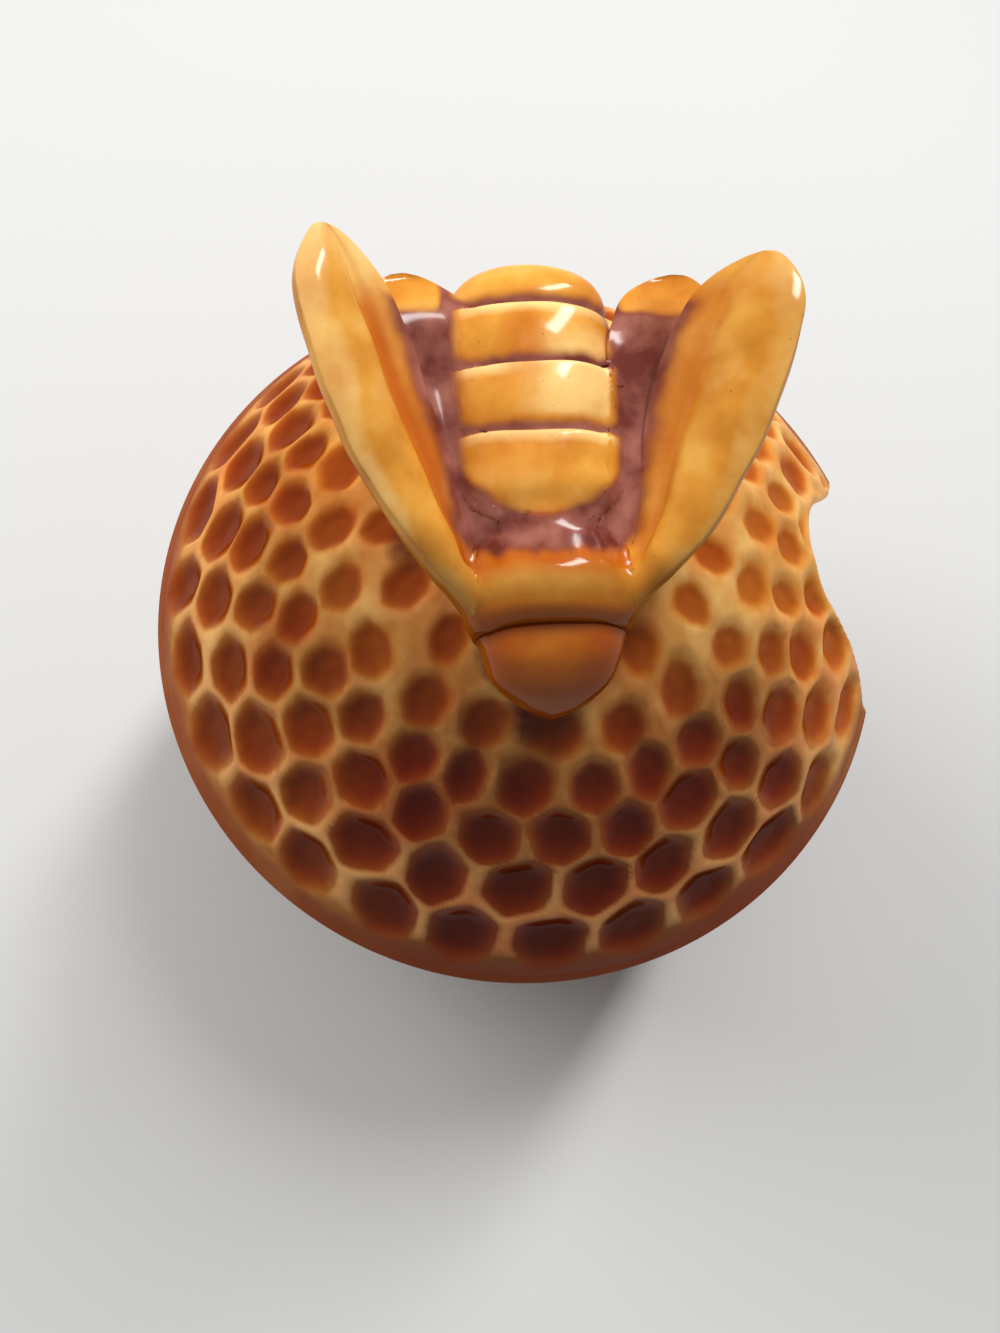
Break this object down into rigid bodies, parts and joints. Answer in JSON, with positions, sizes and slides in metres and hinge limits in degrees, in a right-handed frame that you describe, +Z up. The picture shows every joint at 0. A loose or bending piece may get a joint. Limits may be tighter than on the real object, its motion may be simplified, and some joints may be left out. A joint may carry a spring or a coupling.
{
  "type": "honey pot",
  "caption": "Round glazed ceramic honey pot with a lift-off domed honeycomb lid, a notch for a dipper and a bee as its knob.",
  "frame": {"origin": "centre of the foot ring, on the surface the pot stands on", "axes": "+Z up, the way the lid lifts; the bee looks towards -Y; the notch in the lid opens towards +X"},
  "size_m": [0.0894, 0.09, 0.115],
  "materials": {
    "bowl_glaze": "glossy amber brown glaze, darker where it is thick",
    "comb_glaze": "glossy amber glaze, dark red brown in the cells and tan on the ridges between them",
    "bee_glaze": "glossy honey yellow glaze, purple brown in the grooves"
  },
  "bodies": {
    "pot": {"pot_bowl": "bowl_glaze"},
    "lid": {"lid_dome": "comb_glaze", "bee_thorax": "bee_glaze", "bee_head": "bee_glaze", "bee_abdomen": "bee_glaze", "bee_hindwing_left": "bee_glaze", "bee_hindwing_right": "bee_glaze", "bee_forewing_left": "bee_glaze", "bee_forewing_right": "bee_glaze"}
  },
  "joints": [
    {"name": "lid_lift", "type": "slide", "parent": "pot", "child": "lid", "axis": [0, 0, 1], "range_m": [0, 0.08]}
  ]
}
